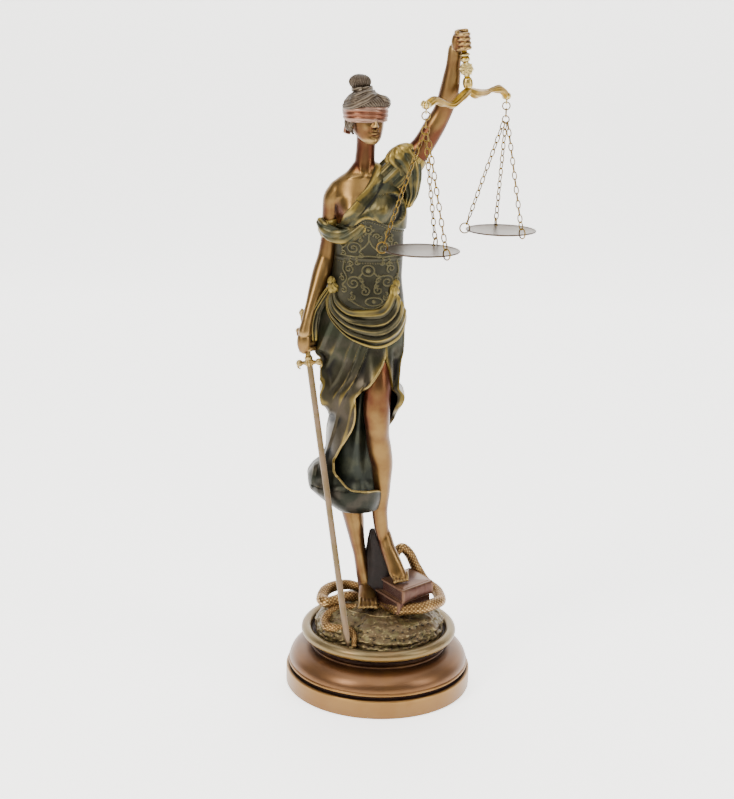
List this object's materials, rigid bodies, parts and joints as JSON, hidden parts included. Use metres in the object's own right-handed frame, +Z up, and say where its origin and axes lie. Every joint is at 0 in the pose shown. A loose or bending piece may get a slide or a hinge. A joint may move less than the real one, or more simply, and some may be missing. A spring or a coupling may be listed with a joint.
{
  "type": "lady justice statue",
  "caption": "Painted resin figurine of blindfolded Justice, one fist on a sword and the other raising a balance, on a turned round plinth",
  "frame": {"origin": "centre of the plinth's underside", "axes": "+Z up, the figure looks towards -Y, +X is the side of the raised balance"},
  "size_m": [0.2173, 0.1899, 0.5937],
  "materials": {
    "brass_paint": "rubbed brass paint",
    "bronze_paint": "bronze and olive paint with rubbed gold crests",
    "blade_paint": "matte tan metallic paint",
    "chain_wire": "aged brass wire",
    "pan_metal": "spun pale metal"
  },
  "bodies": {
    "root": {"plinth": "brass_paint", "figure": "bronze_paint", "sword": "blade_paint", "scale_beam": "brass_paint", "hanger_left": "chain_wire", "hanger_right": "chain_wire", "chains_left": "chain_wire", "chains_right": "chain_wire", "pan_ring_left_1": "chain_wire", "pan_ring_left_2": "chain_wire", "pan_ring_left_3": "chain_wire", "pan_ring_right_1": "chain_wire", "pan_ring_right_2": "chain_wire", "pan_ring_right_3": "chain_wire", "pan_left": "pan_metal", "pan_right": "pan_metal"}
  },
  "joints": []
}
